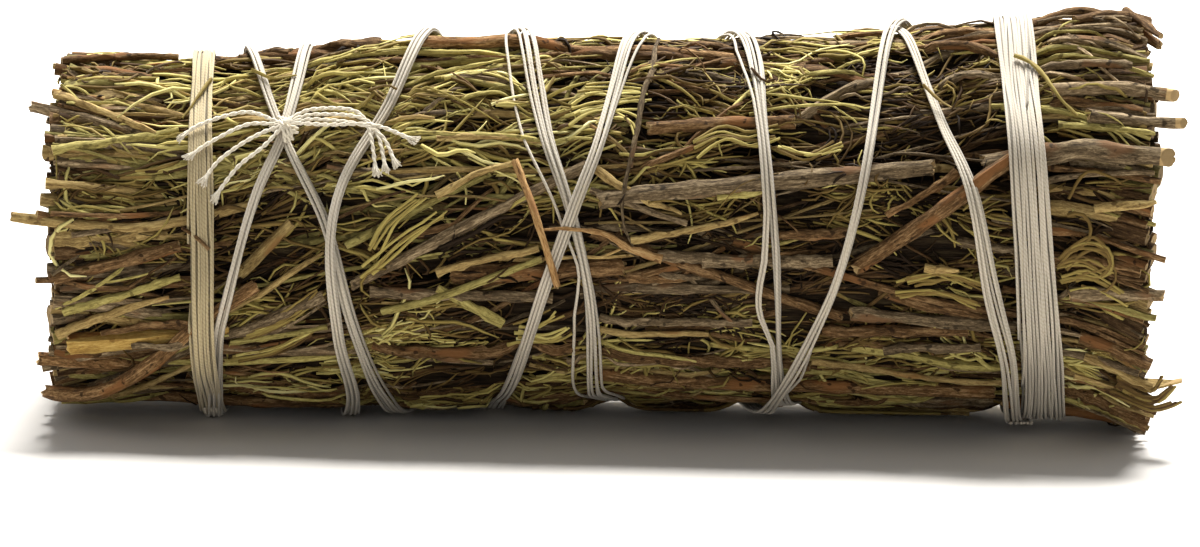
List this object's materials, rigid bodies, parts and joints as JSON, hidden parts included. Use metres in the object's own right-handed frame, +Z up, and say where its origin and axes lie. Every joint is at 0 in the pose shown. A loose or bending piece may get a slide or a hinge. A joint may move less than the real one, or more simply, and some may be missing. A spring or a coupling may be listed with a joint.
{
  "type": "smudge stick",
  "caption": "Bundle of dried needle-leaved sprigs and bare woody stems, cut flush at both ends and bound with criss-crossed white cotton thread tied in a knot.",
  "frame": {"origin": "on the surface that the bundle lies on, below the middle of its bounding box", "axes": "+X along the bundle towards its thicker end, +Y away from the side that the picture shows, +Z up"},
  "size_m": [0.1053, 0.0381, 0.0385],
  "materials": {
    "leaf": "dry, matt needle leaves, olive to brown",
    "brown": "dry furrowed bark, matt",
    "grey": "dry weathered bark, matt",
    "tan": "dry thin-barked stem, satin",
    "green": "dry young stem, satin",
    "split": "split dry wood with rags of red bark",
    "bark": "dry inner bark, matt",
    "thread": "unbleached two-ply cotton thread"
  },
  "bodies": {
    "root": {"leafy_sprig_01": "leaf", "leafy_sprig_02": "leaf", "leafy_sprig_03": "leaf", "leafy_sprig_04": "leaf", "leafy_sprig_05": "leaf", "leafy_sprig_06": "leaf", "leafy_sprig_07": "leaf", "leafy_sprig_08": "leaf", "leafy_sprig_09": "leaf", "leafy_sprig_10": "leaf", "leafy_sprig_11": "leaf", "leafy_sprig_12": "leaf", "stem_01": "brown", "stem_02": "tan", "stem_03": "brown", "stem_04": "grey", "stem_05": "green", "stem_06": "tan", "stem_07": "brown", "stem_08": "split", "stem_09": "brown", "stem_10": "brown", "stem_11": "tan", "stem_12": "green", "stem_13": "grey", "stem_14": "brown", "stem_15": "brown", "stem_16": "green", "stem_17": "brown", "stem_18": "grey", "stem_19": "brown", "stem_20": "brown", "stem_21": "grey", "stem_22": "grey", "stem_23": "brown", "stem_24": "grey", "stem_25": "brown", "stem_26": "grey", "stem_27": "grey", "stem_28": "grey", "stem_29": "tan", "stem_30": "brown", "stem_31": "grey", "stem_32": "brown", "stem_33": "brown", "stem_34": "grey", "stem_35": "brown", "stem_36": "green", "stem_37": "brown", "stem_38": "tan", "stem_39": "grey", "stem_40": "grey", "stem_41": "brown", "stem_42": "green", "thread_band_left": "thread", "thread_band_right": "thread", "thread_outward_wrap": "thread", "thread_return_wrap": "thread", "thread_knot": "thread", "bark_splinter": "bark"}
  },
  "joints": []
}
